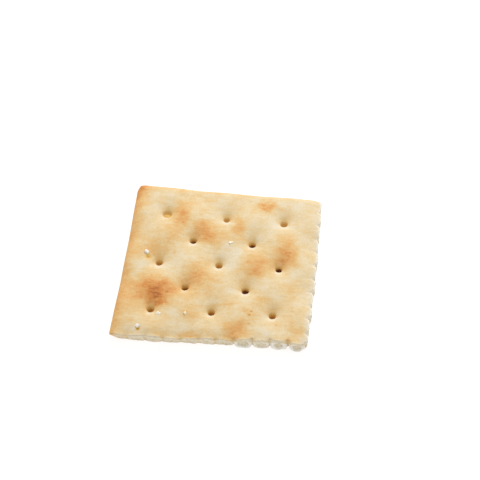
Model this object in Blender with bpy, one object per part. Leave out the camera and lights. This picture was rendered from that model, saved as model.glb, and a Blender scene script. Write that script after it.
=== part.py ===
"""A saltine cracker: a thin square of layered dough, pricked with thirteen holes, salted and baked.

It lies flat. The origin is the middle of its underside, +Z is up, +X is to the right and +Y to the back.
The left and back sides are the outer sides of the baked sheet, so they are smooth and rounded.
The front and right sides were snapped off along a line of slits, so they are a row of torn lobes.
"""
import math
import random

import bmesh
import bpy
from mathutils import Euler, Matrix, Vector

MM = 0.001

# Plan: the four corners before their rounding, seen from above with the middle hole at zero.
FRONT_LEFT = Vector((-25.5, -24.6)) * MM
FRONT_RIGHT = Vector((25.6, -24.5)) * MM
BACK_LEFT = Vector((-24.9, 25.8)) * MM
BACK_RIGHT = Vector((24.4, 24.2)) * MM
CORNER_CUT = 0.45 * MM
CORNER_LENGTH = 1.8 * MM
CORNER_POWER = 1.5

# How far the middle of each side bows outwards.
LEFT_BOW = -0.35 * MM
RIGHT_BOW = 0.4 * MM
FRONT_BOW = 0.4 * MM
BACK_BOW = -0.35 * MM

# Snapped sides: the place of the first slit on each, and the step to the next one.
LOBES = 11
FRONT_FIRST_SLIT = -21.0 * MM
FRONT_SLIT_STEP = 4.63 * MM
RIGHT_FIRST_SLIT = 19.4 * MM
RIGHT_SLIT_STEP = -4.48 * MM
SHALLOW_SLIT_DEPTH = 0.35 * MM
DEEP_SLIT_DEPTH = 0.85 * MM
GROOVE_DEPTH = 0.45 * MM
GROOVE_HALF_WIDTH = 0.55 * MM
GROOVE_LENGTH = 1.3 * MM

# Holes: a lattice with every other place pricked, in rows of three, two, three, two, three.
HOLE_STEP = 7.87 * MM
HOLE_REACH = 2
HOLE_TOP_RADIUS = 1.15 * MM
HOLE_FLOOR_RADIUS = 0.7 * MM
HOLE_SIDES = 16
HOLE_TOP = 4.4 * MM
CLOSED_HOLE_FLOOR = 0.8 * MM
OPEN_HOLE_FLOOR = -0.5 * MM
OPEN_HOLES = ((-1, 1), (1, 1), (2, 0), (1, -1))

# Heights of the top above the table.
MEAN_HEIGHT = 3.95 * MM
PILLOW_HEIGHT = 0.3 * MM
DIMPLE_DEPTH = 0.6 * MM
DIMPLE_RADIUS = 2.1 * MM
SLOPE_DROP = 0.55 * MM
SLOPE_WIDTH = 7.0 * MM
BAKED_ROLL_DROP = 1.2 * MM
BAKED_ROLL_WIDTH = 2.6 * MM
TORN_ROLL_DROP = 1.0 * MM
TORN_ROLL_WIDTH = 1.7 * MM

# Blisters that rose and browned: the middle, the half width, the half depth and the height, in mm.
BLISTERS = (
    (-15.4, -10.4, 5.2, 5.0, 0.38),
    (-11.6, 15.6, 2.4, 4.6, 0.25),
    (-4.9, 10.8, 3.6, 3.4, 0.30),
    (4.2, 11.4, 2.6, 4.0, 0.30),
    (10.7, 20.8, 3.0, 2.6, 0.20),
    (17.0, 4.4, 3.4, 4.4, 0.32),
    (9.9, -0.4, 3.8, 5.0, 0.32),
    (-5.2, -5.0, 4.0, 3.6, 0.28),
    (6.6, -20.2, 3.2, 3.6, 0.30),
)

# Side walls, ring by ring from the rim down: how far a ring stands out, and its share of the rim's height.
BAKED_WALL = ((0.30 * MM, 0.74), (0.40 * MM, 0.48), (0.20 * MM, 0.20), (-0.50 * MM, 0.0))
TORN_WALL = ((0.10 * MM, 0.78), (0.25 * MM, 0.50), (0.22 * MM, 0.22), (-0.15 * MM, 0.0))

# Mesh: five cells across each lobe, so that every slit falls on a line of the grid.
CELLS_PER_LOBE = 5
CELLS = LOBES * CELLS_PER_LOBE

# Salt: blunt cubes, tilted at random and partly sunk in the crust.
SALT_SIZE = 0.85 * MM
SALT_BLUNTING = 0.22
SALT_TILT = 0.5
SALT_SHARE_OUT = 0.1
SALT_SEED = 5
SALT_PLACES = ((-19.6, 2.0), (-18.8, -22.3), (-13.9, -17.4), (2.0, 7.3), (-7.0, -17.3))

CRUST_COLOUR = (0.80, 0.62, 0.37, 1.0)
CRUST_ROUGHNESS = 0.75
SMOOTH_ANGLE = math.radians(40.0)


def clear_scene():
    for item in list(bpy.data.objects):
        bpy.data.objects.remove(item, do_unlink=True)


def crust_material():
    material = bpy.data.materials.new("crust")
    material.use_nodes = True
    shader = material.node_tree.nodes["Principled BSDF"]
    shader.inputs["Base Color"].default_value = CRUST_COLOUR
    shader.inputs["Roughness"].default_value = CRUST_ROUGHNESS
    shader.inputs["Metallic"].default_value = 0.0
    return material


def slit_shares(start, end, first, step):
    """Where the lobes of a snapped side begin and end, as shares of the side's length."""
    slits = [first + step * number for number in range(LOBES - 1)]
    return [0.0] + [(slit - start) / (end - start) for slit in slits] + [1.0]


FRONT_SHARES = slit_shares(FRONT_LEFT.x, FRONT_RIGHT.x, FRONT_FIRST_SLIT, FRONT_SLIT_STEP)
RIGHT_SHARES = slit_shares(BACK_RIGHT.y, FRONT_RIGHT.y, RIGHT_FIRST_SLIT, RIGHT_SLIT_STEP)


def stretch(shares, position):
    """Spread an even position from 0 to 1 over a side whose lobes differ in width."""
    lobe = min(int(position * LOBES), LOBES - 1)
    within = position * LOBES - lobe
    return shares[lobe] * (1.0 - within) + shares[lobe + 1] * within


def arch(share):
    """1 at the middle of a side and 0 at its ends."""
    return 1.0 - (2.0 * share - 1.0) ** 2


def lobe_inset(position, towards_corner):
    """How far the rim stands back: nothing at the middle of a lobe, the full depth at a slit.

    The slits grow deeper towards the corner where the two snapped sides meet.
    """
    across = 2.0 * (position * LOBES % 1.0) - 1.0
    depth = SHALLOW_SLIT_DEPTH + (DEEP_SLIT_DEPTH - SHALLOW_SLIT_DEPTH) * towards_corner
    return depth * (1.0 - math.sqrt(1.0 - across * across))


def corner_inset(share, length):
    """How far the rim stands back near either end of a side, where the corners are rounded."""
    distance = min(share, 1.0 - share) * length
    return CORNER_CUT * max(0.0, 1.0 - distance / CORNER_LENGTH) ** CORNER_POWER


def plan_point(u, v):
    """The plan of the grid: u runs from the left side to the right one, v from front to back."""
    across = stretch(FRONT_SHARES, u)
    back = 1.0 - stretch(RIGHT_SHARES, 1.0 - v)
    front_point = FRONT_LEFT.lerp(FRONT_RIGHT, across)
    back_point = BACK_LEFT.lerp(BACK_RIGHT, across)
    point = front_point.lerp(back_point, back)
    width = FRONT_RIGHT.x - FRONT_LEFT.x
    depth = BACK_LEFT.y - FRONT_LEFT.y
    point.x += (corner_inset(back, depth) - LEFT_BOW * arch(back)) * (1.0 - across)
    point.x -= (corner_inset(back, depth) - RIGHT_BOW * arch(back) + lobe_inset(v, 1.0 - v)) * across
    point.y += (corner_inset(across, width) - FRONT_BOW * arch(across) + lobe_inset(u, u)) * (1.0 - back)
    point.y -= (corner_inset(across, width) - BACK_BOW * arch(across)) * back
    return point


def side_distances(u, v):
    """How far a grid point lies from the left, back, right and front sides."""
    width = FRONT_RIGHT.x - FRONT_LEFT.x
    depth = BACK_LEFT.y - FRONT_LEFT.y
    across = stretch(FRONT_SHARES, u)
    back = 1.0 - stretch(RIGHT_SHARES, 1.0 - v)
    return across * width, (1.0 - back) * depth, (1.0 - across) * width, back * depth


def roll(distance, width, drop):
    """The drop of a rounded edge, a quarter of an ellipse that ends at the rim."""
    rest = max(0.0, 1.0 - distance / width)
    return drop * (1.0 - math.sqrt(1.0 - rest * rest))


def bell(distance, width):
    return math.exp(-((distance / width) ** 2))


def slit_groove(position, distance, side_length):
    """The dent that each slit leaves in the top, just inside a snapped side."""
    nearest = abs(position * LOBES - round(position * LOBES)) * side_length / LOBES
    return GROOVE_DEPTH * bell(nearest, GROOVE_HALF_WIDTH) * bell(distance, GROOVE_LENGTH)


def holes():
    """The places of the holes on the lattice, as whole steps from the middle one."""
    reach = range(-HOLE_REACH, HOLE_REACH + 1)
    return [(column, row) for row in reach for column in reach if (column + row) % 2 == 0]


def relief(x, y):
    """Pillows between the holes, a dimple round each hole, and the blisters."""
    pillow = -math.cos(math.pi * x / HOLE_STEP) * math.cos(math.pi * y / HOLE_STEP)
    height = PILLOW_HEIGHT * pillow
    for column, row in holes():
        distance = math.hypot(x - column * HOLE_STEP, y - row * HOLE_STEP)
        height -= DIMPLE_DEPTH * bell(distance, DIMPLE_RADIUS)
    for middle_x, middle_y, half_width, half_depth, rise in BLISTERS:
        distance = math.hypot((x / MM - middle_x) / half_width, (y / MM - middle_y) / half_depth)
        height += rise * MM * bell(distance, 1.0)
    return height


def top_height(u, v, x, y):
    left, back, right, front = side_distances(u, v)
    height = MEAN_HEIGHT + relief(x, y)
    height -= roll(min(left, back), BAKED_ROLL_WIDTH, BAKED_ROLL_DROP)
    height -= roll(min(right, front), TORN_ROLL_WIDTH, TORN_ROLL_DROP)
    height -= SLOPE_DROP * bell(min(left, back, right, front), SLOPE_WIDTH)
    height -= slit_groove(u, front, FRONT_RIGHT.x - FRONT_LEFT.x)
    height -= slit_groove(v, right, BACK_RIGHT.y - FRONT_RIGHT.y)
    return height


def top_sheet(bm, places):
    """The top as a grid, with each point's u and v kept in the layer named places."""
    bmesh.ops.create_grid(bm, x_segments=CELLS, y_segments=CELLS, size=0.5)
    for vert in bm.verts:
        u = vert.co.x + 0.5
        v = vert.co.y + 0.5
        x, y = plan_point(u, v)
        vert.co = (x, y, top_height(u, v, x, y))
        vert[places] = (u, v, vert.co.z)


def outward(u, v):
    """The way out of the cracker at a rim point, and how far its side is a baked one."""
    close = 0.5 / CELLS
    direction = Vector(((u > 1.0 - close) - (u < close), (v > 1.0 - close) - (v < close)))
    baked = (u < close) + (v > 1.0 - close)
    return direction.normalized(), baked / (baked + (u > 1.0 - close) + (v < close))


def wall(bm, places):
    """Rings of faces from the rim down to the table, closed by one flat face underneath."""
    edges = [edge for edge in bm.edges if edge.is_boundary]
    for baked_ring, torn_ring in zip(BAKED_WALL, TORN_WALL):
        extruded = bmesh.ops.extrude_edge_only(bm, edges=edges)["geom"]
        edges = [item for item in extruded if isinstance(item, bmesh.types.BMEdge)]
        for vert in [item for item in extruded if isinstance(item, bmesh.types.BMVert)]:
            u, v, rim_height = vert[places]
            direction, baked = outward(u, v)
            out = torn_ring[0] + (baked_ring[0] - torn_ring[0]) * baked
            share = torn_ring[1] + (baked_ring[1] - torn_ring[1]) * baked
            rim = plan_point(u, v)
            vert.co = (rim.x + direction.x * out, rim.y + direction.y * out, rim_height * share)
        edges = [edge for edge in edges if edge.is_boundary]
    bmesh.ops.contextual_create(bm, geom=edges)
    bmesh.ops.recalc_face_normals(bm, faces=bm.faces[:])


def new_object(name, bm):
    mesh = bpy.data.meshes.new(name)
    bm.to_mesh(mesh)
    bm.free()
    item = bpy.data.objects.new(name, mesh)
    bpy.context.scene.collection.objects.link(item)
    return item


def dough():
    bm = bmesh.new()
    places = bm.verts.layers.float_vector.new("places")
    top_sheet(bm, places)
    wall(bm, places)
    return new_object("cracker", bm)


def pin(column, row):
    """One pin of the docking roller: a tapered round cutter standing in its hole."""
    floor = OPEN_HOLE_FLOOR if (column, row) in OPEN_HOLES else CLOSED_HOLE_FLOOR
    bm = bmesh.new()
    bmesh.ops.create_cone(
        bm,
        cap_ends=True,
        segments=HOLE_SIDES,
        radius1=HOLE_FLOOR_RADIUS,
        radius2=HOLE_TOP_RADIUS,
        depth=HOLE_TOP - floor,
        matrix=Matrix.Translation((column * HOLE_STEP, row * HOLE_STEP, (HOLE_TOP + floor) / 2.0)),
    )
    return new_object("pin", bm)


def grain(crust, x, y, rng):
    """One grain of salt: a blunt cube, tilted and half sunk where a line straight down meets the crust."""
    above = Vector((x, y, 2.0 * MEAN_HEIGHT))
    place, normal = crust.ray_cast(above, Vector((0.0, 0.0, -1.0)))[1:3]
    bm = bmesh.new()
    bmesh.ops.create_cube(bm, size=SALT_SIZE)
    bmesh.ops.bevel(
        bm,
        geom=bm.verts[:],
        offset=SALT_SIZE * SALT_BLUNTING,
        segments=1,
        affect="VERTICES",
    )
    turn = Euler([rng.uniform(-SALT_TILT, SALT_TILT) for axis in range(3)])
    middle = place + normal * SALT_SIZE * SALT_SHARE_OUT
    bm.transform(Matrix.Translation(middle) @ turn.to_matrix().to_4x4())
    return new_object("grain", bm)


def combine(base, pieces, operation):
    """Cut all pieces out of the base, or join them to it, in one Boolean that is then applied."""
    group = bpy.data.collections.new("pieces")
    bpy.context.scene.collection.children.link(group)
    for piece in pieces:
        group.objects.link(piece)
    boolean = base.modifiers.new("combine", "BOOLEAN")
    boolean.operation = operation
    boolean.solver = "EXACT"
    boolean.operand_type = "COLLECTION"
    boolean.collection = group
    evaluated = base.evaluated_get(bpy.context.evaluated_depsgraph_get())
    base.data = bpy.data.meshes.new_from_object(evaluated)
    base.modifiers.clear()
    for piece in pieces:
        bpy.data.objects.remove(piece, do_unlink=True)
    bpy.data.collections.remove(group)


def centre(item):
    """Move the mesh so that the middle of its plan is over the origin."""
    xs = [vert.co.x for vert in item.data.vertices]
    ys = [vert.co.y for vert in item.data.vertices]
    middle = Vector(((min(xs) + max(xs)) / 2.0, (min(ys) + max(ys)) / 2.0, 0.0))
    item.data.transform(Matrix.Translation(-middle))
    print("moved by", [round(value / MM, 3) for value in -middle], "mm")


def main():
    clear_scene()
    cracker = dough()
    combine(cracker, [pin(column, row) for column, row in holes()], "DIFFERENCE")
    rng = random.Random(SALT_SEED)
    combine(cracker, [grain(cracker, x * MM, y * MM, rng) for x, y in SALT_PLACES], "UNION")
    centre(cracker)
    cracker.data.materials.clear()
    cracker.data.materials.append(crust_material())
    cracker.data.shade_smooth()
    cracker.data.set_sharp_from_angle(angle=SMOOTH_ANGLE)
    print("cracker faces", len(cracker.data.polygons))


main()
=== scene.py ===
# %% [markdown]
# # A saltine cracker
#
# A saltine is a thin square of layered dough. A docking roller pricks thirteen holes in it, which pin
# the layers together, and the dough puffs up into pillows between the holes. The highest blisters brown
# first. The cracker in this lesson comes from the corner of a baked sheet: its left and back sides are
# smooth and rounded, and its front and right sides were snapped off along a row of slits.
#
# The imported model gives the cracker's real size and place. We build a much finer surface in the same
# space, and let it stand for the plain solid.

import math
import random

import bmesh
import bpy
import numpy as np
from mathutils import Euler, Matrix, Vector, noise


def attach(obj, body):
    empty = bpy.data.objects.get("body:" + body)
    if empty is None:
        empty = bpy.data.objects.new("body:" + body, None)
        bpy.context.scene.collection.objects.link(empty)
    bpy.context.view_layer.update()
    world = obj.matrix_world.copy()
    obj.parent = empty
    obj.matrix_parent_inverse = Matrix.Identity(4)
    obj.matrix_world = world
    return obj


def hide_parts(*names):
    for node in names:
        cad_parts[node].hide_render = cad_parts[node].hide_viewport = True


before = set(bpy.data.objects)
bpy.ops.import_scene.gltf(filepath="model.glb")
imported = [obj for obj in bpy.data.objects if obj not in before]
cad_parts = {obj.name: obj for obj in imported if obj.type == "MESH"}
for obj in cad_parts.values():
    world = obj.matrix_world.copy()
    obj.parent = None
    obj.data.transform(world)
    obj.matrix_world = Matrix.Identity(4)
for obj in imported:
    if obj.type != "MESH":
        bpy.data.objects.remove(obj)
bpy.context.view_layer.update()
MM = 0.001

# %% [markdown]
# ## The plan of the cracker
#
# The outline could be drawn point by point, but a cracker's sides are simple: four nearly straight lines,
# each with a slight bow. We write each side as a function that says where it lies. Two of the sides are cut
# by slits into lobes. The dough bulges between two cuts, so we also note how far across its lobe a place is.

# %% Sides and slits
FRONT_LEFT = Vector((-25.5, -25.55)) * MM
FRONT_RIGHT = Vector((25.6, -24.8)) * MM
BACK_LEFT = Vector((-24.9, 25.8)) * MM
BACK_RIGHT = Vector((24.4, 24.2)) * MM
LEFT_BOW = -0.35 * MM
RIGHT_BOW = 0.4 * MM
FRONT_BOW = 0.05 * MM
BACK_BOW = -0.35 * MM
SLITS_PER_SIDE = 10
FRONT_SLITS = [(-21.0 + 4.63 * number) * MM for number in range(SLITS_PER_SIDE)]
RIGHT_SLITS = [(-20.92 + 4.48 * number) * MM for number in range(SLITS_PER_SIDE)]
SLIT_JITTER = 0.18 * MM


def side_line(along, start, end, bow):
    """How far out a side lies at these places along it. Start and end are (along, out) pairs."""
    share = (along - start[0]) / (end[0] - start[0])
    return start[1] + (end[1] - start[1]) * share + bow * (1.0 - (2.0 * share - 1.0) ** 2)


def front_line(x):
    return side_line(x, FRONT_LEFT, FRONT_RIGHT, -FRONT_BOW)


def back_line(x):
    return side_line(x, BACK_LEFT, BACK_RIGHT, BACK_BOW)


def left_line(y):
    return side_line(y, FRONT_LEFT.yx, BACK_LEFT.yx, -LEFT_BOW)


def right_line(y):
    return side_line(y, FRONT_RIGHT.yx, BACK_RIGHT.yx, RIGHT_BOW)


def lobes(along, slits, start, end, seed):
    """For each place, how far across its lobe it is, from -1 at one slit to 1 at the next, and its lobe.

    The lobes at the two ends go on round the corner, so there the count stops at 0.
    """
    rng = random.Random(seed)
    inner = [slit + rng.uniform(-SLIT_JITTER, SLIT_JITTER) for slit in slits]
    edges = np.array([2.0 * start - inner[0]] + inner + [2.0 * end - inner[-1]])
    lobe = np.clip(np.searchsorted(edges, along) - 1, 0, len(edges) - 2)
    across = 2.0 * (along - edges[lobe]) / (edges[lobe + 1] - edges[lobe]) - 1.0
    return np.clip(across, -1.0, 1.0), lobe


def face_across(across, lobe):
    """The same for the snapped face of a lobe, which at the ends stops short of the corner."""
    stretched = 2.0 * across + np.where(lobe == 0, -1.0, 1.0)
    return np.where((lobe == 0) | (lobe == SLITS_PER_SIDE), stretched, across)


front_length = (FRONT_RIGHT - FRONT_LEFT).length
left_length = (BACK_LEFT - FRONT_LEFT).length
print("front and left side in mm:", round(front_length / MM, 1), round(left_length / MM, 1))

# %% [markdown]
# ## A grid that knows where the holes are
#
# The top is a sheet of small square cells. If its lines were even all over, a hole one and a half
# millimetres wide would come out ragged. So the lines are laid so that every hole falls on a crossing,
# and later the squares round each hole are bent into circles. Towards the sides the lines draw closer
# together and follow the side, so that the rim is drawn sharply.

# %% Grid lines
HOLE_STEP = 7.87 * MM
CELLS_PER_STEP = 30
CORE_STEPS = 5
CORE_CELLS = CORE_STEPS * CELLS_PER_STEP
CORE_HALF = CORE_STEPS * HOLE_STEP / 2.0
BAND_CELLS = 25
RIM_DRAW = 0.25
HALF_SIDE = 25.2 * MM
LOBE_REACH = 3.0

band = np.arange(1, BAND_CELLS + 1) / BAND_CELLS
band = band * (1.0 + RIM_DRAW * (1.0 - band))
core = np.linspace(-CORE_HALF, CORE_HALF, CORE_CELLS + 1)
inner = np.concatenate([np.full(BAND_CELLS, -CORE_HALF), core, np.full(BAND_CELLS, CORE_HALF)])
high_share = np.concatenate([np.zeros(BAND_CELLS + CORE_CELLS + 1), band])
low_share = high_share[::-1]
nominal = inner + (high_share - low_share) * (HALF_SIDE - CORE_HALF)
COUNT = len(nominal)
rough_x, rough_y = np.meshgrid(nominal, nominal)
right_share, back_share = np.meshgrid(high_share, high_share)
left_share, front_share = np.meshgrid(low_share, low_share)
inner_x, inner_y = np.meshgrid(inner, inner)

right_at = right_line(rough_y)
left_at = left_line(rough_y)
back_at = back_line(rough_x)
front_at = front_line(rough_x)
sheet_x = inner_x + right_share * (right_at - CORE_HALF) + left_share * (left_at + CORE_HALF)
sheet_y = inner_y + back_share * (back_at - CORE_HALF) + front_share * (front_at + CORE_HALF)
from_right = right_at - sheet_x
from_left = sheet_x - left_at
from_back = back_at - sheet_y
from_front = sheet_y - front_at
print("grid of", COUNT, "by", COUNT, "points,", round(HOLE_STEP / CELLS_PER_STEP / MM, 3), "mm apart")

# %% [markdown]
# ## Lobes and rounded corners
#
# Now the two snapped sides get their lobes, and the corners are eased. Both only bend the last few
# millimetres of the sheet, so the holes stay where they are. Along the front the slits start shallow on the
# left and grow deeper towards the corner where the two snapped sides meet. The last lobes there gape open.
# The top rim overhangs the foot of the snapped walls, so the bottom sheet has a plan of its own.

# %% Bend the rim
SHALLOW_SLIT = 0.35 * MM
DEEP_SLIT = 0.62 * MM
RIGHT_DEEPER = 1.65
SOFT_DIP = 0.30
SOFT_DIP_SHARE = 0.45
ARCH_SHARE = 0.86
SLIT_START = 0.80
# For each lobe, from the left and from the front: how far it stands back, in mm.
FRONT_SWINGS = np.array((0.0, 0.05, -0.1, -0.05, 0.1, 0.15, 0.2, 0.0, 0.05, 0.0, -0.45))
RIGHT_SWINGS = np.array((-0.3, -0.1, -0.25, -0.08, -0.28, -0.15, -0.32, -0.1, -0.2, -0.3, -0.15))
GAPE_INSET = 0.48 * MM
FRONT_UNDERCUT = 0.70 * MM
RIGHT_UNDERCUT = 0.35 * MM
CORNER_POWER = 1.7
FRONT_SEED = 3
RIGHT_SEED = 8
# For each lobe, from the left and from the front: how far its snapped end gapes open.
FRONT_GAPES = np.array((0.0, 0.05, 0.1, 0.0, 0.05, 0.1, 0.15, 1.0, 0.5, 0.95, 1.0))
RIGHT_GAPES = np.array((0.15, 0.25, 0.2, 0.1, 0.2, 0.1, 0.2, 0.25, 0.2, 0.1, 0.05))
# How much a corner is cut back, and how far along the side the cut is felt.
SMALL_CUT = (0.45 * MM, 2.2 * MM)
SHARP_CUT = (0.15 * MM, 1.2 * MM)
FRONT_LEFT_CUT = (1.0 * MM, 3.6 * MM)
FRONT_RIGHT_CUT = (0.75 * MM, 2.6 * MM)


def ease(value):
    """A smooth step from 0 to 1."""
    value = np.clip(value, 0.0, 1.0)
    return value * value * (3.0 - 2.0 * value)


def gape_at(across, lobe, gapes):
    """How far a lobe gapes at each place, eased from one lobe to the next at the slits."""
    beside = np.clip(lobe + np.where(across > 0.0, 1, -1), 0, SLITS_PER_SIDE)
    share = 0.5 * ease((np.abs(across) - SLIT_START) / (1.0 - SLIT_START))
    return gapes[lobe] + (gapes[beside] - gapes[lobe]) * share


def soft_dip(across):
    """A soft dent at each slit, from 0 in the middle of a lobe to 1."""
    return np.exp(-(((1.0 - np.abs(across)) / SOFT_DIP) ** 2))


def open_arch(across):
    """The end of a gaping lobe falls away like half an ellipse, from 0 in its middle to 1 at its sides."""
    flank = np.clip(np.abs(across) / ARCH_SHARE, 0.0, 1.0)
    return 1.0 - np.sqrt(1.0 - flank ** 2)


def lobe_inset(across, lobe, gape, depth, swings):
    """How far the rim stands back: a little for each lobe, and much more at the slits."""
    soft = SOFT_DIP_SHARE * soft_dip(across)
    sharp = ease((np.abs(across) - SLIT_START) / (1.0 - SLIT_START))
    swing = swings[lobe] * MM * (1.0 - across ** 4)
    return depth * (soft + (sharp - soft) * gape) + swing + GAPE_INSET * gape


def corner_inset(along, low_cut, high_cut):
    """How far a side stands back near its two corners."""
    inset = 0.0
    for distance, (cut, length) in ((along + HALF_SIDE, low_cut), (HALF_SIDE - along, high_cut)):
        inset = inset + cut * np.clip(1.0 - distance / length, 0.0, 1.0) ** CORNER_POWER
    return inset


front_across, front_lobe = lobes(rough_x, FRONT_SLITS, FRONT_LEFT.x, FRONT_RIGHT.x, FRONT_SEED)
right_across, right_lobe = lobes(rough_y, RIGHT_SLITS, FRONT_RIGHT.y, BACK_RIGHT.y, RIGHT_SEED)
deeper_right = np.clip(rough_x / (2.0 * HALF_SIDE) + 0.5, 0.0, 1.0)
deeper_front = np.clip(0.5 - rough_y / (2.0 * HALF_SIDE), 0.0, 1.0)
front_depth = SHALLOW_SLIT + (DEEP_SLIT - SHALLOW_SLIT) * deeper_right
right_depth = RIGHT_DEEPER * (SHALLOW_SLIT + (DEEP_SLIT - SHALLOW_SLIT) * deeper_front)
front_gape = gape_at(front_across, front_lobe, FRONT_GAPES)
right_gape = gape_at(right_across, right_lobe, RIGHT_GAPES)
front_inset = lobe_inset(front_across, front_lobe, front_gape, front_depth, FRONT_SWINGS)
right_inset = lobe_inset(right_across, right_lobe, right_gape, right_depth, RIGHT_SWINGS)
front_inset = front_inset + corner_inset(rough_x, FRONT_LEFT_CUT, FRONT_RIGHT_CUT)
right_inset = right_inset + corner_inset(rough_y, FRONT_RIGHT_CUT, SMALL_CUT)

sheet_x = sheet_x - right_share ** LOBE_REACH * right_inset
sheet_x = sheet_x + left_share ** LOBE_REACH * corner_inset(rough_y, SHARP_CUT, SMALL_CUT)
sheet_y = sheet_y + front_share ** LOBE_REACH * front_inset
sheet_y = sheet_y - back_share ** LOBE_REACH * corner_inset(rough_x, SMALL_CUT, SMALL_CUT)
under_x = sheet_x - right_share ** LOBE_REACH * RIGHT_UNDERCUT * (1.0 - right_gape)
under_y = sheet_y + front_share ** LOBE_REACH * FRONT_UNDERCUT * (1.0 - front_gape)
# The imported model's origin is the middle of its own plan, which lies here in the plan drawn above.
MIDDLE = Vector((0.022, 0.454)) * MM
print("plan in mm:", round(np.ptp(sheet_x) / MM, 2), "by", round(np.ptp(sheet_y) / MM, 2))

# %% [markdown]
# ## Rings round the holes
#
# Each hole sits on a crossing of the grid. The squares of points round it are turned into circles, whose
# radii are listed: a few on the floor, three close together for the steep wall, then wider ones out
# to the undisturbed grid. This is the same trick as squeezing topology towards an edge loop when modelling
# by hand. A little noise in the angle keeps the holes from looking drilled.

# %% Bend squares into circles
HOLE_RADIUS = 0.70 * MM
# The radius of each ring, as a share of the hole's.
RING_RADII = (0.0, 0.3, 0.6, 0.85, 1.0, 1.1, 1.22, 1.38, 1.6, 1.95, 2.4, 2.9, 3.4, 4.0, 4.6, 5.2, 5.8)
RINGS = len(RING_RADII) - 1
ROUND_RINGS = 9
HOLE_REACH = 2
HOLE_WOBBLE = 0.10
EIGHTH_TURN = math.pi / 4.0
holes = [
    (column, row)
    for row in range(-HOLE_REACH, HOLE_REACH + 1)
    for column in range(-HOLE_REACH, HOLE_REACH + 1)
    if (column + row) % 2 == 0
]
# For each hole: its width as a share of the usual one.
HOLE_WIDTHS = {(-2, 2): 1.35, (0, 2): 0.9, (-1, 1): 0.95, (1, 1): 0.95, (2, 0): 0.9}
# For each hole: how far the pin went in beside its place on the lattice, in mm.
HOLE_SHIFTS = {
    (-2, 2): (-0.18, -0.12),
    (0, 2): (0.07, -0.64),
    (2, 2): (-0.37, -0.93),
    (-1, 1): (0.05, -0.81),
    (1, 1): (0.0, -0.87),
    (-2, 0): (-0.10, -0.81),
    (0, 0): (-0.07, -0.55),
    (2, 0): (-0.05, -0.55),
    (-1, -1): (-0.09, -0.81),
    (1, -1): (-0.04, -0.58),
    (-2, -2): (-0.26, -0.70),
    (0, -2): (-0.14, -0.36),
    (2, -2): (0.0, -0.12),
}


def square_angle(i, j):
    """The angle of a point on a square ring, spread evenly round the circle that it becomes."""
    if abs(j) <= abs(i):
        return (0.0 if i > 0 else math.pi) + EIGHTH_TURN * j / i
    return (math.pi / 2.0 if j > 0 else -math.pi / 2.0) - EIGHTH_TURN * i / j


def bend_hole(column, row):
    """Turn the square rings round one hole into circles, and say where its middle point is."""
    middle_i = COUNT // 2 + column * CELLS_PER_STEP
    middle_j = COUNT // 2 + row * CELLS_PER_STEP
    shift_x, shift_y = HOLE_SHIFTS[column, row]
    centre_x = column * HOLE_STEP + shift_x * MM
    centre_y = row * HOLE_STEP + shift_y * MM
    radius = HOLE_RADIUS * HOLE_WIDTHS.get((column, row), 1.0)
    own_noise = 7.0 * column + 13.0 * row
    for i in range(-RINGS, RINGS + 1):
        for j in range(-RINGS, RINGS + 1):
            ring = max(abs(i), abs(j))
            angle = square_angle(i, j) if ring else 0.0
            wobble = noise.noise(Vector((math.cos(angle), math.sin(angle), own_noise)))
            reach = RING_RADII[ring] * radius * (1.0 + HOLE_WOBBLE * wobble)
            square = ease((ring - ROUND_RINGS) / (RINGS - ROUND_RINGS))
            x = centre_x + reach * math.cos(angle)
            y = centre_y + reach * math.sin(angle)
            spot = (middle_j + j, middle_i + i)
            for grid_x, grid_y in ((sheet_x, sheet_y), (under_x, under_y)):
                grid_x[spot] += (x - grid_x[spot]) * (1.0 - square)
                grid_y[spot] += (y - grid_y[spot]) * (1.0 - square)
    return centre_x, centre_y, radius


hole_places = {hole: bend_hole(*hole) for hole in holes}
print(len(hole_places), "holes,", round(2.0 * HOLE_RADIUS / MM, 2), "mm wide at the floor")

# %% [markdown]
# ## The top surface
#
# The height of the top is a sum of simple shapes: a pillow between the holes from two cosines, a bell-shaped
# dimple and a steep well at each hole, a bell for each big blister, and rounded rolls at the sides. On top
# of that come three sizes of noise and a scatter of small bubbles, because a surface made from
# clean formulas alone looks moulded and not baked.

# %% Shapes to add up
def bell(distance, width):
    return np.exp(-((distance / width) ** 2))


def roll(distance, width, drop):
    """The drop of a rounded edge: a quarter of an ellipse that ends at the rim."""
    rest = np.clip(1.0 - distance / width, 0.0, 1.0)
    return drop * (1.0 - np.sqrt(1.0 - rest * rest))


def rough(x, y, z, sizes, octaves=1):
    """Noise at each point, about -1 to 1, with bumps as wide, deep and high as the three sizes."""
    scaled = np.stack(np.broadcast_arrays(x / sizes[0], y / sizes[1], z / sizes[2]), axis=-1)
    values = [noise.fractal(Vector(point), 1.0, 2.0, octaves) for point in scaled.reshape(-1, 3)]
    return np.array(values).reshape(scaled.shape[:-1])


print("a bell falls to", round(float(bell(1.0, 1.0)), 2), "of its height at its width")

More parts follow.
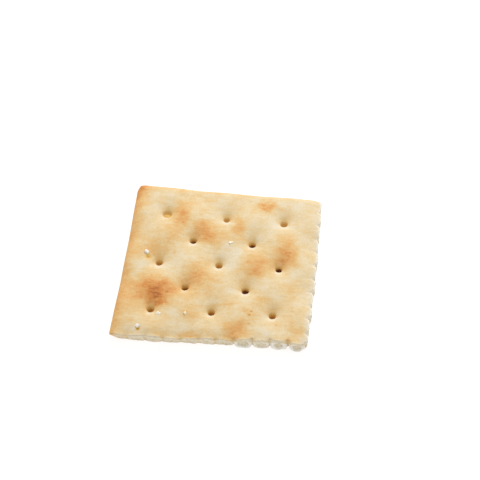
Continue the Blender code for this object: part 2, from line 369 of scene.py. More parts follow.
# %% Heights of the top
# A roll is a width and a drop. A notch is a drop for plain lobes, a drop for gaping ones, and its reach.
MEAN_HEIGHT = 3.95 * MM
PILLOW_HEIGHT = 0.3 * MM
SLOPE_DROP = 0.55 * MM
SLOPE_WIDTH = 7.0 * MM
FRONT_SLOPE_CUT = 0.55
BAKED_ROLL = (2.6 * MM, 1.2 * MM)
TORN_ROLL = (0.35 * MM, 0.20 * MM)
FRONT_FALL = 0.80 * MM
FRONT_FALL_WIDTH = 2.3 * MM
FRONT_FALL_START = 5.0 * MM
RIGHT_FALL = 0.25 * MM
RIGHT_FALL_WIDTH = 2.0 * MM
RIM_CURL = 0.08 * MM
RIM_CURL_WIDTH = 0.5 * MM
CORNER_DROP = 0.4 * MM
CORNER_DROP_WIDTH = 2.0 * MM
THIN_CORNER = 0.35 * MM
THIN_CORNER_WIDTH = 3.2 * MM
FRONT_NOTCH = (0.6, 0.62 * MM, 0.60 * MM)
RIGHT_NOTCH = (0.25, 0.70 * MM, 0.7 * MM)
RIGHT_GROOVE = (0.07 * MM, 1.35 * MM, 0.45 * MM)
# Near the straight back the pillows are lower.
CALM_SHARE = 0.65
CALM_WIDTH = 4.0 * MM

# The middle, the half width, the half depth and the height of each big blister, in mm.
BLISTERS = (
    (-15.4, -10.4, 5.2, 5.0, 0.38),
    (-11.6, 15.6, 2.4, 4.6, 0.25),
    (-4.9, 10.8, 3.6, 3.4, 0.30),
    (4.2, 11.4, 2.6, 4.0, 0.30),
    (10.7, 20.8, 3.0, 2.6, 0.20),
    (17.0, 4.4, 3.4, 4.4, 0.32),
    (9.9, -0.4, 3.8, 5.0, 0.32),
    (-5.2, -5.0, 4.0, 3.6, 0.28),
    (6.6, -20.2, 3.2, 3.6, 0.30),
    (-14.5, 8.6, 6.0, 4.6, 0.45),
    (9.5, 14.0, 4.5, 3.6, 0.25),
)


def notch(across, lobe, depth, gape, distance, shape):
    """The crust bends down to the slits between the lobes, and more so where the lobes gape."""
    soft_drop, arch_drop, reach = shape
    arch = open_arch(face_across(across, lobe))
    fall = soft_drop * depth * soft_dip(across) * (1.0 - gape) + arch_drop * gape * arch
    return fall * bell(distance, reach)


def notches(front_shape, right_shape):
    """The notches of the two snapped sides, the deeper one at each place."""
    front = notch(front_across, front_lobe, front_depth, front_gape, from_front, front_shape)
    right = notch(right_across, right_lobe, right_depth, right_gape, from_right, right_shape)
    return np.maximum(front, right)


def big_shapes(x, y):
    """The pillows and the blisters."""
    height = -PILLOW_HEIGHT * np.cos(math.pi * x / HOLE_STEP) * np.cos(math.pi * y / HOLE_STEP)
    for middle_x, middle_y, half_width, half_depth, rise in BLISTERS:
        away = np.hypot((x / MM - middle_x) / half_width, (y / MM - middle_y) / half_depth)
        height = height + rise * MM * bell(away, 1.0)
    return height


def side_shapes():
    """How much the top drops towards the four sides."""
    baked = np.minimum(from_left, from_back)
    torn = np.minimum(from_right, from_front)
    drop = roll(baked, *BAKED_ROLL) + roll(torn, *TORN_ROLL) - RIM_CURL * bell(torn, RIM_CURL_WIDTH)
    slope = SLOPE_DROP * (1.0 - FRONT_SLOPE_CUT * bell(from_front, SLOPE_WIDTH))
    drop = drop + slope * bell(np.minimum(baked, torn), SLOPE_WIDTH)
    falling = (1.0 - front_gape) * ease(from_left / FRONT_FALL_START)
    drop = drop + FRONT_FALL * falling * bell(from_front, FRONT_FALL_WIDTH)
    drop = drop + RIGHT_FALL * (1.0 - right_gape) * bell(from_right, RIGHT_FALL_WIDTH)
    corner = CORNER_DROP * bell(np.hypot(from_front, from_right), CORNER_DROP_WIDTH)
    corner = corner + THIN_CORNER * bell(np.hypot(from_front, from_left), THIN_CORNER_WIDTH)
    depth, place, width = RIGHT_GROOVE
    groove = depth * bell(from_right - place, width)
    return drop + notches(FRONT_NOTCH, RIGHT_NOTCH) + corner + groove


calm = 1.0 - CALM_SHARE * bell(from_back, CALM_WIDTH)
top = MEAN_HEIGHT + calm * big_shapes(sheet_x, sheet_y) - side_shapes()
print("top before its roughness, in mm:", round(top.min() / MM, 2), "to", round(top.max() / MM, 2))

# %% Roughness and small bubbles
SWELL = 0.10 * MM
SWELL_SIZES = (6.0 * MM, 6.0 * MM, 1.0)
WRINKLE = 0.035 * MM
WRINKLE_SIZES = (1.6 * MM, 0.7 * MM, 1.0)
GRIT = 0.014 * MM
GRIT_SIZES = (0.5 * MM, 0.5 * MM, 1.0)
BUBBLES = 90
BUBBLE_RADII = (0.35 * MM, 1.1 * MM)
BUBBLE_RISE = 0.10
BUBBLE_FOOT = 1.6
BUBBLE_SEED = 21


def add_bubbles(height, count, seed):
    """Small low blisters scattered over the sheet."""
    rng = random.Random(seed)
    for bubble in range(count):
        x = rng.uniform(-HALF_SIDE, HALF_SIDE)
        y = rng.uniform(-HALF_SIDE, HALF_SIDE)
        radius = rng.uniform(*BUBBLE_RADII)
        away = np.hypot(sheet_x - x, sheet_y - y)
        height = height + BUBBLE_RISE * radius * ease(1.0 - away / (BUBBLE_FOOT * radius))
    return height


top = top + SWELL * calm * rough(sheet_x, sheet_y, 1.0, SWELL_SIZES)
top = top + WRINKLE * rough(sheet_x, sheet_y, 2.0, WRINKLE_SIZES, 2)
top = top + GRIT * rough(sheet_x, sheet_y, 3.0, GRIT_SIZES, 2)
top = add_bubbles(top, BUBBLES, BUBBLE_SEED)
print("top in mm:", round(top.min() / MM, 2), "to", round(top.max() / MM, 2))

# %% [markdown]
# ## The wells of the holes
#
# The pins of the roller press the layers together. In some holes they went right through, and in the others
# a floor of dough is left. The dough round a pin sinks like a funnel, longer towards the back. We sink the
# inner rings of each hole to its floor, and write down for each point how deep in a hole it is, so that the
# material can darken the walls, partly as toasting and partly as painted shade deeper down. Painted shade
# is also laid on the slope behind each hole. The four open holes keep their rings down to the wall, and are
# joined to the underside later.

# %% Sink the wells
OPEN_HOLES = ((-1, 1), (1, 1), (2, 0), (1, -1))
FUNNEL_DEPTH = 1.35 * MM
FUNNEL_ACROSS = 1.45 * MM
FUNNEL_BEHIND = 2.0 * MM
FUNNEL_BEFORE = 1.45 * MM
FUNNEL_POWER = 1.5
WELL_TOP = 1.5
WELL_FOOT = 0.75
OPEN_FLOOR = 0.75 * MM
CLOSED_FLOOR = 1.1 * MM
# The hole at the back left lies in a deeper dent.
FUNNEL_DEPTHS = {(-2, 2): 1.5 * MM}
# The height of the floor in the shallower and the deeper holes.
FLOORS = {(-2, 2): 2.1 * MM, (0, 2): 1.6 * MM, (2, 2): 1.5 * MM, (0, 0): 1.4 * MM}
# How dark each hole is: partly toasting, partly painted shade.
HOLE_TOAST_AND_SHADE = {
    (-2, 2): 0.66,
    (0, 2): 0.45,
    (2, 2): 0.50,
    (-1, 1): 0.95,
    (1, 1): 1.05,
    (-2, 0): 0.50,
    (0, 0): 0.60,
    (2, 0): 1.30,
    (-1, -1): 0.80,
    (1, -1): 1.40,
    (-2, -2): 0.60,
    (0, -2): 0.65,
    (2, -2): 0.60,
}
DARK_RIM = 1.6
DARK_SOFT = 0.45
DARK_START = 0.35
DARK_HEIGHT = 2.6 * MM
DARK_DEPTH = 1.4 * MM
# Painted shade, golden in tone, on the far slope behind each hole: how strong, how far behind, and its
# half width and half depth.
SLOPE_PAINTED_SHADE = 0.20
SLOPE_SHADE_SHIFT = 0.85 * MM
SLOPE_SHADE_WIDTH = 0.90 * MM
SLOPE_SHADE_DEPTH = 1.25 * MM

bore = np.zeros_like(top)
for hole, (centre_x, centre_y, radius) in hole_places.items():
    away = np.hypot(sheet_x - centre_x, sheet_y - centre_y)
    to_back = sheet_y - centre_y
    along = to_back / np.where(to_back > 0.0, FUNNEL_BEHIND, FUNNEL_BEFORE)
    funnel = np.hypot((sheet_x - centre_x) / FUNNEL_ACROSS, along)
    top = top - FUNNEL_DEPTHS.get(hole, FUNNEL_DEPTH) * np.exp(-(funnel ** FUNNEL_POWER))
    floor = OPEN_FLOOR if hole in OPEN_HOLES else FLOORS.get(hole, CLOSED_FLOOR)
    sunk = ease((WELL_TOP - away / radius) / (WELL_TOP - WELL_FOOT))
    top = top + (np.minimum(floor, top) - top) * sunk
    # The walls darken towards the floor: partly toasting, partly painted shade in the hole.
    near = ease((DARK_RIM - away / radius) / DARK_SOFT)
    deep = ease((DARK_HEIGHT - top) / DARK_DEPTH)
    bore = np.maximum(bore, HOLE_TOAST_AND_SHADE[hole] * near * (DARK_START + (1.0 - DARK_START) * deep))
    # Painted shade on the far slope behind the hole.
    wide = (sheet_x - centre_x) / (SLOPE_SHADE_WIDTH * radius / HOLE_RADIUS)
    behind = (sheet_y - centre_y - SLOPE_SHADE_SHIFT) / SLOPE_SHADE_DEPTH
    bore = np.maximum(bore, SLOPE_PAINTED_SHADE * bell(np.hypot(wide, behind), 1.0))
print("lowest hole floor in mm:", round(top.min() / MM, 2))

# %% [markdown]
# ## The underside
#
# A saltine bakes on an open wire belt, so its underside is flatter than its top, with shallow hollows where
# the dough lifted off the belt and a small dent under each hole. Here every hollow goes upwards from the
# lowest plane, so that the cracker still rests on its middle.

# %% Heights of the underside
HOLLOW = 0.22 * MM
HOLLOW_SIZES = (5.0 * MM, 5.0 * MM, 1.0)
HOLLOW_SPREAD = 0.15
UNDER_WRINKLE = 0.04 * MM
UNDER_WRINKLE_SIZES = (0.9 * MM, 0.9 * MM, 1.0)
UNDER_DENT = (0.30 * MM, 1.3 * MM)
PIN_MARK = 0.55
PIN_TOAST = 0.32
PIN_MARK_WIDTH = 0.65 * MM
UNDER_ROLL = (2.2 * MM, 0.60 * MM)
TORN_UNDER_ROLL = (0.5 * MM, 0.12 * MM)
FRONT_UNDER_NOTCH = (0.12, 1.00 * MM, 0.9 * MM)
RIGHT_UNDER_NOTCH = (0.12, 0.70 * MM, 0.8 * MM)
CORNER_LIFT = 0.25 * MM
CORNER_LIFT_WIDTH = 3.0 * MM
UNDER_RAGGED = 0.16 * MM
UNDER_RAGGED_SIZES = (1.1 * MM, 1.1 * MM, 1.0)
UNDER_RAGGED_SPREAD = 0.3
UNDER_RAGGED_WIDTH = 0.6 * MM

bottom = HOLLOW * np.clip(rough(sheet_x, sheet_y, 5.0, HOLLOW_SIZES, 2) + HOLLOW_SPREAD, 0.0, None)
ripples = np.clip(rough(sheet_x, sheet_y, 6.0, UNDER_WRINKLE_SIZES, 2), 0.0, None)
bottom = bottom + UNDER_WRINKLE * ripples
bottom = bottom + roll(np.minimum(from_left, from_back), *UNDER_ROLL)
bottom = bottom + roll(np.minimum(from_right, from_front), *TORN_UNDER_ROLL)
bottom = bottom + notches(FRONT_UNDER_NOTCH, RIGHT_UNDER_NOTCH)
bottom = bottom + CORNER_LIFT * bell(np.hypot(from_front, from_left), CORNER_LIFT_WIDTH)
ragged = np.clip(rough(sheet_x, sheet_y, 7.0, UNDER_RAGGED_SIZES, 3) + UNDER_RAGGED_SPREAD, 0.0, None)
by_rim = bell(np.minimum(from_right, from_front), UNDER_RAGGED_WIDTH)
bottom = bottom + UNDER_RAGGED * ragged * by_rim
under_bore = np.zeros_like(bottom)
under_bake = np.zeros_like(bottom)
for hole, (centre_x, centre_y, radius) in hole_places.items():
    away = np.hypot(sheet_x - centre_x, sheet_y - centre_y)
    bottom = bottom + UNDER_DENT[0] * bell(away, UNDER_DENT[1])
    mark = bell(away, PIN_MARK_WIDTH)
    under_bake = np.maximum(under_bake, PIN_TOAST * mark)
    if hole in OPEN_HOLES:
        under_bore = np.maximum(under_bore, PIN_MARK * mark)
print("underside in mm:", round(bottom.min() / MM, 3), "to", round(bottom.max() / MM, 3))

# %% [markdown]
# ## Browning, with painted shade and highlights
#
# Before the walls we note how brown each point of the top is. The same table that raised the big blisters
# would do, but the brown patches of a real cracker sit a little to one side of the puffs, so they have a
# table of their own. The places are bent by noise first, which makes the round bells ragged. Painted light
# goes into the same value: painted shade on the slope behind each hole and in one valley, a painted
# highlight on the near rim of each hole, and a pale line along the snapped rims that is partly painted
# highlight. The value goes into the mesh as an attribute, and the material adds the finer breakup and picks
# the colours.

# %% Brown patches
# The middle, the half width, the half depth and the strength of each patch, in mm.
PATCHES = (
    (-15.8, -10.2, 6.2, 4.4, 0.53),
    (-15.2, -13.0, 3.2, 1.9, 0.26),
    (-13.6, -14.2, 2.2, 1.2, 0.14),
    (-12.0, -7.0, 2.4, 2.4, -0.10),
    (-11.9, 15.2, 2.2, 4.4, 0.42),
    (-5.7, 10.9, 2.6, 3.0, 0.39),
    (-2.9, 8.0, 3.0, 2.8, 0.36),
    (4.1, 10.9, 2.4, 3.4, 0.32),
    (11.0, 20.2, 2.6, 2.4, 0.46),
    (17.3, 4.2, 3.0, 4.2, 0.46),
    (9.9, -0.6, 3.6, 4.4, 0.36),
    (10.5, -2.0, 1.6, 1.6, 0.06),
    (-5.8, -5.0, 4.0, 4.0, 0.34),
    (6.4, -22.3, 2.8, 3.2, 0.40),
    (10.4, -16.8, 2.8, 2.0, 0.16),
    (-4.8, -16.7, 2.8, 3.0, 0.14),
    (-5.6, -24.2, 3.0, 1.2, 0.20),
    (-12.5, -24.2, 3.0, 1.2, 0.06),
    (1.0, -24.0, 3.0, 1.6, 0.08),
    (20.6, -23.0, 2.6, 1.6, 0.10),
    (12.7, -12.9, 2.8, 2.0, 0.14),
    (4.3, -13.6, 2.4, 0.8, 0.18),
    (22.6, -20.6, 2.6, 2.4, 0.20),
    (-20.0, -17.0, 5.0, 4.0, 0.10),
    (-3.0, -10.4, 5.2, 2.6, 0.12),
    (22.5, 3.5, 2.0, 3.0, -0.06),
    (-2.0, -23.0, 3.0, 2.0, 0.05),
    (-19.0, 8.0, 6.0, 6.0, 0.08),
    (10.0, 12.0, 6.0, 5.0, -0.06),
    (3.0, 3.0, 5.0, 4.0, -0.08),
    (-9.8, -2.6, 4.0, 3.4, -0.11),
    (19.5, -9.0, 4.0, 2.4, 0.06),
    # This patch is painted shade on the front slope of the broad blister at the back left, just behind the
    # left hole.
    (-17.0, 2.9, 4.6, 2.1, 0.22),
    (-12.8, 7.9, 2.6, 1.6, 0.10),
    (-22.4, -2.0, 3.0, 4.0, -0.09),
    (15.6, 21.6, 6.6, 2.6, -0.10),
    (-7.4, 21.2, 6.0, 2.2, 0.07),
    (-20.0, 15.6, 5.0, 3.0, -0.08),
)
# Small toasted specks: the middle, the radius and the strength, in mm.
SPECKS = (
    (9.9, -17.0, 0.30, 0.75),
    (10.4, -15.7, 0.24, 0.55),
    (10.1, -19.7, 0.24, 0.40),
    (17.1, -19.5, 0.30, 0.22),
    (-17.6, 10.0, 0.35, 0.22),
    (-14.1, 5.4, 0.32, 0.26),
    (-11.1, 12.3, 0.35, 0.30),
    (-12.1, 2.1, 0.35, 0.30),
)
BEND = 1.2 * MM
BEND_SIZES = (2.4 * MM, 2.0 * MM, 1.0)
MOTTLE = 0.10
MOTTLE_SIZES = (5.5 * MM, 4.0 * MM, 1.0)
EDGE_BAKE = 0.27
EDGE_BAKE_WIDTH = 2.4 * MM
BACK_BAKE = 0.45 * EDGE_BAKE
BACK_BAKE_WIDTH = 0.6 * EDGE_BAKE_WIDTH
CORNER_BAKE = 0.26
CORNER_BAKE_REACH = 5.0 * MM
# Along the snapped rims a pale line: partly unbrowned crust and crumb, partly painted highlight.
RIM_LINE = 0.42 * MM
RIM_LINE_SOFT = 0.25 * MM
RIM_LINE_FADE = 2.0 * MM
RIM_PALE = 0.25
RIM_WHITE = (0.10, 0.60)
RIGHT_CREAM = 0.16
RIGHT_CREAM_WIDTH = 1.0 * MM
SLIT_BAKE = 0.02
SLIT_SPOT_WIDTH = 1.1 * MM
# Painted shade, golden in tone, on the slope behind each hole, and a painted highlight of paler crust on its
# near rim: each an amount, a shift towards the back and a width.
FUNNEL_PAINTED_SHADE = (0.22, 0.8 * MM, 1.3 * MM)
NEAR_RIM_PAINTED_HIGHLIGHT = (0.30, -1.15 * MM, 0.9 * MM)

bent_x = sheet_x + BEND * rough(sheet_x, sheet_y, 10.0, BEND_SIZES, 3)
bent_y = sheet_y + BEND * rough(sheet_x, sheet_y, 11.0, BEND_SIZES, 3)
bake = MOTTLE * rough(sheet_x, sheet_y, 12.0, MOTTLE_SIZES, 3)
for patch_x, patch_y, half_width, half_depth, strength in PATCHES:
    away = np.hypot((bent_x / MM - patch_x) / half_width, (bent_y / MM - patch_y) / half_depth)
    bake = bake + strength * bell(away, 1.0)
for speck_x, speck_y, radius, strength in SPECKS:
    bake = bake + strength * bell(np.hypot(sheet_x / MM - speck_x, sheet_y / MM - speck_y), radius)
left_bake = EDGE_BAKE * bell(from_left, EDGE_BAKE_WIDTH)
back_bake = BACK_BAKE * bell(from_back, BACK_BAKE_WIDTH)
corner_bake = CORNER_BAKE * bell(np.hypot(from_left, from_back), CORNER_BAKE_REACH)
bake = bake + np.maximum(left_bake, back_bake) + corner_bake
# Behind each hole its painted shade, in front of it its painted highlight.
for centre_x, centre_y, radius in hole_places.values():
    for amount, shift, width in (FUNNEL_PAINTED_SHADE, (-NEAR_RIM_PAINTED_HIGHLIGHT[0], *NEAR_RIM_PAINTED_HIGHLIGHT[1:])):
        bake = bake + amount * bell(np.hypot(sheet_x - centre_x, sheet_y - centre_y - shift), width)
by_front = from_front < from_right
torn_distance = np.minimum(from_front, from_right)
baked_distance = np.minimum(from_left, from_back)
# The pale line along the snapped rims is partly unbrowned crust and crumb, partly painted highlight.
rim_line = ease((RIM_LINE - torn_distance) / RIM_LINE_SOFT) * ease(baked_distance / RIM_LINE_FADE)
rim_white = rim_line * np.where(by_front, RIM_WHITE[0] * front_gape, RIM_WHITE[1])
slit_spot = soft_dip(np.where(by_front, front_across, right_across)) * bell(torn_distance, SLIT_SPOT_WIDTH)
slit_deep = (np.where(by_front, front_depth, right_depth) / DEEP_SLIT) ** 3
bake = bake + SLIT_BAKE * slit_spot * slit_deep * by_front - RIM_PALE * rim_line * (1.0 - slit_spot)
bake = bake - RIGHT_CREAM * bell(from_right, RIGHT_CREAM_WIDTH)
# The toasted pits just in front of two of the grains of salt, partly painted shadow of the grain: the middle,
# the radius and the depth in mm, and how dark.
PITS = (
    (-18.95, 0.60, 0.80, 0.26, 0.64),
    (-18.25, -23.45, 0.52, 0.12, 0.64),
)
for pit_x, pit_y, radius, depth, pit_dark in PITS:
    pit = bell(np.hypot(sheet_x / MM - pit_x, sheet_y / MM - pit_y), radius)
    top = top - depth * MM * pit
    bore = np.maximum(bore, pit_dark * pit)
print("bake from", round(bake.min(), 2), "to", round(bake.max(), 2))

# %% [markdown]
# ## The walls
#
# A wall runs between the two sheets, in rows of points from the top rim down to the bottom rim. It could be
# one strip with a bump map, but the torn sides are seen edge on, so their shape is modelled. On the baked
# sides each column of points bulges like half a circle. On the snapped sides a thin crust ends above torn
# crumb, which noise pushes in and out. Some lobes gape, with a pale ring round a shallow hollow; the pale
# lips are partly paler crumb and partly painted highlight. At the slits the dough was cut before it was
# baked, so crust reaches further down there, as it does at the corners.

# %% Follow the rim
LAST = COUNT - 1
BAKED_FADE = 3.0 * MM
rim = [(0, i) for i in range(LAST)]
rim += [(j, LAST) for j in range(LAST)]
rim += [(LAST, i) for i in range(LAST, 0, -1)]
rim += [(j, 0) for j in range(LAST, 0, -1)]
rim_rows = np.array([j for j, i in rim])
rim_columns = np.array([i for j, i in rim])


def at_rim(values):
    return values[rim_rows, rim_columns]


rim_x = at_rim(sheet_x)
rim_y = at_rim(sheet_y)
under_rim_x = at_rim(under_x)
under_rim_y = at_rim(under_y)
ahead_x = np.roll(rim_x, -2) - np.roll(rim_x, 2)
ahead_y = np.roll(rim_y, -2) - np.roll(rim_y, 2)
ahead = np.hypot(ahead_x, ahead_y)
out_x = ahead_y / ahead
out_y = -ahead_x / ahead

on_front = rim_rows == 0
on_snapped = on_front | (rim_columns == LAST)
to_baked = np.minimum(at_rim(from_left), at_rim(from_back))
snapped = on_snapped * ease(to_baked / BAKED_FADE)
rim_across = np.where(
    on_front,
    at_rim(face_across(front_across, front_lobe)),
    at_rim(face_across(right_across, right_lobe)),
)
flank = np.abs(rim_across) / ARCH_SHARE
arch = np.sqrt(1.0 - np.clip(flank, 0.0, 1.0) ** 2)
gape = np.where(on_front, at_rim(front_gape), at_rim(right_gape))
print("rim of", len(rim), "points,", round(100 * snapped.mean()), "% of it snapped")

# %% Rows of the wall
ROWS = (
    0.03, 0.07, 0.11, 0.16, 0.22, 0.28, 0.34, 0.40, 0.46,
    0.52, 0.58, 0.64, 0.70, 0.76, 0.82, 0.88, 0.93, 0.97,
)
BAKED_BULGE = 0.42 * MM
# How far a plain snapped wall stands out, in mm, at shares of its height from the top down.
PLAIN_FACE = ((0.0, 0.08, 0.25, 0.5, 0.8, 0.92, 1.0), (0.0, 0.06, -0.06, -0.16, -0.08, 0.06, 0.0))
# A gaping wall has a raised ring round a hollow.
RING_OUT = 0.34
RING_WAVER = 0.26
RING_PLACE = 0.86
RING_WIDTH = 0.18
RING_START = 0.60
RING_SOFT = 0.14
RING_RISE = (0.05, 0.35)
HOLLOW_EDGE = 0.80
HOLLOW_SOFT = 0.40
HOLLOW_DEEP = 0.38
RAGGED = 0.14 * MM
RAGGED_SIZES = (1.1 * MM, 1.1 * MM, 6.0 * MM)
FLAKE = 0.16 * MM
FLAKE_SIZES = (1.6 * MM, 1.6 * MM, 0.4 * MM)
CRUMB_NOISE = 0.22 * MM
CRUMB_NOISE_SIZES = (0.7 * MM, 0.7 * MM, 0.5 * MM)
# How much of a wall's height is crust, from the top down, and how soft the lower edge of that crust is.
CRUST_EDGE = 0.13
CRUST_EDGE_SOFT = 0.06
CRUST_EDGE_SWING = 0.12
CRUST_EDGE_SIZES = (0.9 * MM, 0.9 * MM, 1.0)
# At the corners, where the snapped sides end, more of the wall is crust.
CORNER_CRUST = 0.60
LEFT_CORNER_WIDTH = 5.0 * MM
RIGHT_CORNER_WIDTH = 3.0 * MM
# The same for a gaping wall, and how far from the middle of a lobe its torn face ends, and how softly.
GAPING_CRUST = 0.11
GAPING_SWING = 0.5
GAPING_SOFT = 0.08
GAPING_SIDE = (1.12, 0.10)
SLIT_CRUST = 0.5
# The pale lip under the crust, partly paler crumb and partly painted highlight: its strength, reach and
# softness, and the place and width on a gaping wall.
PLAIN_LIP = (0.3, 0.16, 0.10)
TOP_LIP = (0.24, 0.07)
# Near both rims the torn face is calmer, and towards its foot it turns darker.
LIP_CALM = 0.14
BASE_START = 0.6
FOOT_DARKENING = 0.35

wall_x, wall_y, wall_z, wall_torn, wall_lip = [], [], [], [], []
rim_top = at_rim(top)
rim_bottom = at_rim(bottom)
crust_edge = CRUST_EDGE + CRUST_EDGE_SWING * rough(rim_x, rim_y, 8.0, CRUST_EDGE_SIZES, 2)
left_corner = bell(at_rim(from_left), LEFT_CORNER_WIDTH)
right_corner = bell(at_rim(from_front), RIGHT_CORNER_WIDTH)
crust_edge = crust_edge + CORNER_CRUST * np.where(on_front, left_corner, right_corner)
closed = ease((flank * ARCH_SHARE - SLIT_START) / (1.0 - SLIT_START))
for share in ROWS:
    height = rim_top + (rim_bottom - rim_top) * share
    inside = ease(share / LIP_CALM) * ease((1.0 - share) / LIP_CALM)
    flakes = FLAKE * rough(rim_x, rim_y, height, FLAKE_SIZES)
    crumbs = CRUMB_NOISE * rough(rim_x, rim_y, height, CRUMB_NOISE_SIZES, 2)
    ragged = RAGGED * rough(rim_x, rim_y, height, RAGGED_SIZES, 2)
    from_middle = np.hypot(flank, (1.0 - 2.0 * share) * arch) + RING_WAVER * ragged / RAGGED
    ring_out = RING_OUT * share * bell(from_middle - RING_PLACE, RING_WIDTH)
    hollow = ease((HOLLOW_EDGE - from_middle) / HOLLOW_SOFT)
    gaping = (ring_out - HOLLOW_DEEP * hollow) * MM
    plain = np.interp(share, *PLAIN_FACE) * MM
    torn_out = plain * (1.0 - gape) + gaping * gape + inside * (flakes + crumbs) + ragged
    round_out = BAKED_BULGE * math.sqrt(math.sin(math.pi * share))
    out = round_out * (1.0 - snapped) + torn_out * snapped
    wall_x.append(rim_x + (under_rim_x - rim_x) * share + out_x * out)
    wall_y.append(rim_y + (under_rim_y - rim_y) * share + out_y * out)
    wall_z.append(height)
    plain_torn = ease((share - crust_edge) / CRUST_EDGE_SOFT) * (1.0 - SLIT_CRUST * closed)
    gaping_edge = GAPING_CRUST + GAPING_SWING * crust_edge
    gaping_torn = ease((GAPING_SIDE[0] - flank) / GAPING_SIDE[1]) * ease((share - gaping_edge) / GAPING_SOFT)
    torn = plain_torn * (1.0 - gape) + gaping_torn * gape
    base = FOOT_DARKENING * (1.0 - gape) * ease((share - BASE_START) / (1.0 - BASE_START))
    wall_torn.append(snapped * torn * (1.0 - base))
    # The pale lips are partly paler crumb, partly painted highlight.
    plain_lip = PLAIN_LIP[0] * ease((crust_edge + PLAIN_LIP[1] - share) / PLAIN_LIP[2])
    ring_rise = ease((share - RING_RISE[0]) / RING_RISE[1])
    gaping_lip = ease((from_middle - RING_START) / RING_SOFT) * ring_rise
    gaping_lip = np.maximum(gaping_lip, bell(share - TOP_LIP[0], TOP_LIP[1]) * arch)
    wall_lip.append(plain_lip * (1.0 - gape) + gaping_lip * gape)
print("walls of", len(ROWS), "rows,", round((rim_top - rim_bottom).mean() / MM, 2), "mm high")

# %% [markdown]
# ## One mesh
#
# Points and faces are gathered in arrays and handed to Blender in one go. The top sheet faces up, the bottom
# sheet is the same faces turned over, and the walls close the gap. In the open holes the middle faces of
# both sheets are left out, and a short tube joins the two rings.

# %% Faces of the sheets and the walls
OPEN_RING = 4
numbers = np.arange(COUNT * COUNT).reshape(COUNT, COUNT)
under_numbers = numbers + COUNT * COUNT
wall_numbers = 2 * COUNT * COUNT + np.arange(len(ROWS) * len(rim)).reshape(len(ROWS), len(rim))

kept = np.ones((LAST, LAST), dtype=bool)
for column, row in OPEN_HOLES:
    i = COUNT // 2 + column * CELLS_PER_STEP
    j = COUNT // 2 + row * CELLS_PER_STEP
    kept[j - OPEN_RING:j + OPEN_RING, i - OPEN_RING:i + OPEN_RING] = False


def sheet_faces(grid):
    corners = (grid[:-1, :-1], grid[:-1, 1:], grid[1:, 1:], grid[1:, :-1])
    return np.stack([corner[kept] for corner in corners], axis=-1)


def tube_faces(rings):
    """Faces between rings of points, each ring below the one before it, facing outward."""
    bands = []
    for upper, lower in zip(rings[:-1], rings[1:]):
        bands.append(np.stack([upper, lower, np.roll(lower, -1), np.roll(upper, -1)], axis=-1))
    return np.concatenate(bands)


def ring_points(grid, column, row, ring):
    """The points of a square ring round a hole, anticlockwise."""
    i = COUNT // 2 + column * CELLS_PER_STEP
    j = COUNT // 2 + row * CELLS_PER_STEP
    steps = range(-ring, ring)
    points = [grid[j - ring, i + step] for step in steps]
    points += [grid[j + step, i + ring] for step in steps]
    points += [grid[j + ring, i - step] for step in steps]
    points += [grid[j - step, i - ring] for step in steps]
    return np.array(points)


faces = [sheet_faces(numbers), sheet_faces(under_numbers)[:, ::-1]]
rings = [at_rim(numbers)] + list(wall_numbers) + [at_rim(under_numbers)]
faces.append(tube_faces(rings))
for column, row in OPEN_HOLES:
    upper = ring_points(numbers, column, row, OPEN_RING)
    lower = ring_points(under_numbers, column, row, OPEN_RING)
    faces.append(tube_faces([upper, lower])[:, ::-1])
faces = np.concatenate(faces)
print(len(faces), "faces")

# %% Hand it to Blender
def column_of(top_values, under_values, wall_values):
    """One value for every point: top sheet, bottom sheet, walls."""
    return np.concatenate([np.ravel(top_values), np.ravel(under_values), np.ravel(wall_values)])


def add_object(name, data):
    """A new object in the scene, made of this mesh, lamp or camera."""
    added = bpy.data.objects.new(name, data)
    bpy.context.scene.collection.objects.link(added)
    return added


def build_piece(name, x, y, z, faces, attributes):
    """A mesh object of the used points, with a float attribute for each entry of attributes."""
    used, places = np.unique(faces, return_inverse=True)
    points = np.stack([x, y, z], axis=-1)[used]
    mesh = bpy.data.meshes.new(name)
    mesh.from_pydata(points.tolist(), [], places.reshape(faces.shape).tolist())
    mesh.update()
    mesh.shade_smooth()
    for key, values in attributes.items():
        mesh.attributes.new(key, "FLOAT", "POINT").data.foreach_set("value", values[used])
    return add_object(name, mesh)


none = np.zeros_like(top)
wall_share = np.array(ROWS)[:, None]
wall_bake_and_light = at_rim(bake) * (1.0 - wall_share)
wall_under = wall_share ** 2 * np.ones(len(rim))
all_x = column_of(sheet_x, under_x, wall_x) - MIDDLE.x
all_y = column_of(sheet_y, under_y, wall_y) - MIDDLE.y
all_z = column_of(top, bottom, wall_z)
marks = {
    "bake": column_of(bake, under_bake, wall_bake_and_light),
    "bore": column_of(bore, under_bore, 0.0 * wall_under),
    "torn": column_of(rim_white, none, wall_torn),
    "lip": column_of(rim_line, none, wall_lip),
    "under": column_of(none, none + 1.0, wall_under),
}
crust = build_piece("crust", all_x, all_y, all_z, faces, marks)
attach(crust, "root")
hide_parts("cracker")
print("crust of", 2 * len(faces), "triangles,", [round(side / MM, 2) for side in crust.dimensions], "mm")

# %% [markdown]
# ## A small language for materials
#
# A material is a net of nodes. Wiring nodes by hand makes long code, so one small class wraps a socket and
# lets us write sums with it, such as 1 - mask. Each sum adds its Math nodes. All other nodes come from one
# method, which is given the kind of node, its settings, and what goes into its sockets.

